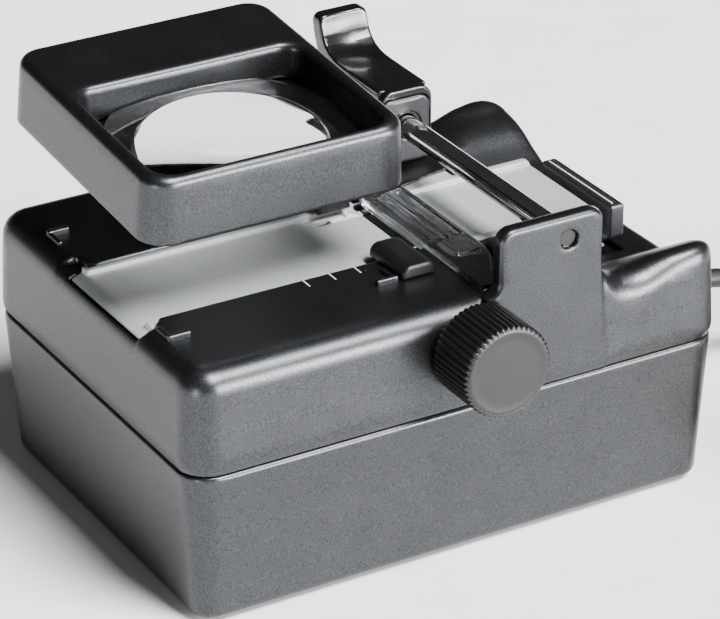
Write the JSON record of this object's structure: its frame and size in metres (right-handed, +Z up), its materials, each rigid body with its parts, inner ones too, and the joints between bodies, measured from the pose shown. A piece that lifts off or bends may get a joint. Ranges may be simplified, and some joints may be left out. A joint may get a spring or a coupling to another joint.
{
  "type": "illuminated 35 mm film cutter with magnifier",
  "caption": "Desktop 35 mm film and slide cutter with lit opal viewing bed, hinged magnifier, sliding blade carriage on a chrome rod, and fluted film transport knob.",
  "frame": {"origin": "centre of the whole object in plan, on the surface that its feet stand on; the mains lead and its plug are left out", "axes": "+X along the film's travel, from its entry to the end stop; +Y from the knob side to the rear; +Z up"},
  "size_m": [0.3271, 0.1648, 0.131],
  "materials": {
    "housing": "satin moulded plastic with a fine metallic fleck",
    "black_matt": "matt moulded black",
    "plug_black": "matt moulded black",
    "black_gloss": "glossy black",
    "carriage_grey": "satin dark grey",
    "stop_grey": "satin dark grey with a white index line",
    "opal": "translucent opal white",
    "white_plastic": "plain white",
    "clear_acrylic": "clear moulded acrylic",
    "lens_glass": "polished",
    "chrome": "polished",
    "steel": "ground",
    "brass": "turned",
    "reflector": "bright rolled",
    "rubber": "matt",
    "cable_black": "smooth PVC sheath"
  },
  "bodies": {
    "housing": {"base_shell": "housing", "blade_guard": "black_matt", "bracket_screw": "steel", "end_stop": "stop_grey", "exit_bed": "opal", "film_guide_front": "black_matt", "film_guide_rear": "black_matt", "fixed_blade": "steel", "flap_bracket": "black_matt", "flap_pin": "steel", "foot_front_left": "rubber", "foot_front_right": "rubber", "foot_rear_left": "rubber", "foot_rear_right": "rubber", "front_bush": "brass", "guide_rod": "chrome", "housing_screw_front_left": "steel", "housing_screw_front_right": "steel", "housing_screw_rear_left": "steel", "housing_screw_rear_right": "steel", "lamp": "lens_glass", "lamp_holder": "white_plastic", "lamp_reflector": "reflector", "lead_coil": "cable_black", "lead_cord": "cable_black", "lead_tail": "cable_black", "lead_tie": "black_matt", "magnifier_pin": "steel", "magnifier_post": "housing", "mains_plug": "plug_black", "plug_pin_left": "brass", "plug_pin_right": "brass", "rod_screw_front": "steel", "rod_screw_rear": "steel", "shaft_bracket": "black_matt", "strain_relief": "rubber", "terminal_block": "white_plastic", "top_shell": "housing", "viewing_bed": "opal"},
    "transport": {"transport_knob": "black_matt", "knob_shaft": "steel", "sprocket_front": "white_plastic", "sprocket_rear": "white_plastic"},
    "cutter": {"carriage": "carriage_grey", "thumb_lever": "black_gloss", "cutter_blade": "steel", "blade_screw_front": "steel", "blade_screw_rear": "steel"},
    "flap": {"pressure_flap": "clear_acrylic"},
    "magnifier": {"magnifier_frame": "housing", "lens_carrier": "black_gloss", "magnifier_lens": "lens_glass"}
  },
  "joints": [
    {"name": "knob_spin", "type": "hinge", "parent": "housing", "child": "transport", "pos_m": [0.0014, 0.0073, 0.068], "axis": [0, 1, 0], "continuous": true},
    {"name": "blade_stroke", "type": "slide", "parent": "housing", "child": "cutter", "axis": [0, -1, 0], "range_m": [0, 0.058]},
    {"name": "flap_lift", "type": "hinge", "parent": "housing", "child": "flap", "pos_m": [0.0152, 0.0293, 0.0834], "axis": [-1, 0, 0], "range_deg": [0, 55]},
    {"name": "magnifier_tilt", "type": "hinge", "parent": "housing", "child": "magnifier", "pos_m": [-0.0406, 0.06967, 0.11439], "axis": [-1, 0, 0], "range_deg": [0, 95]}
  ]
}
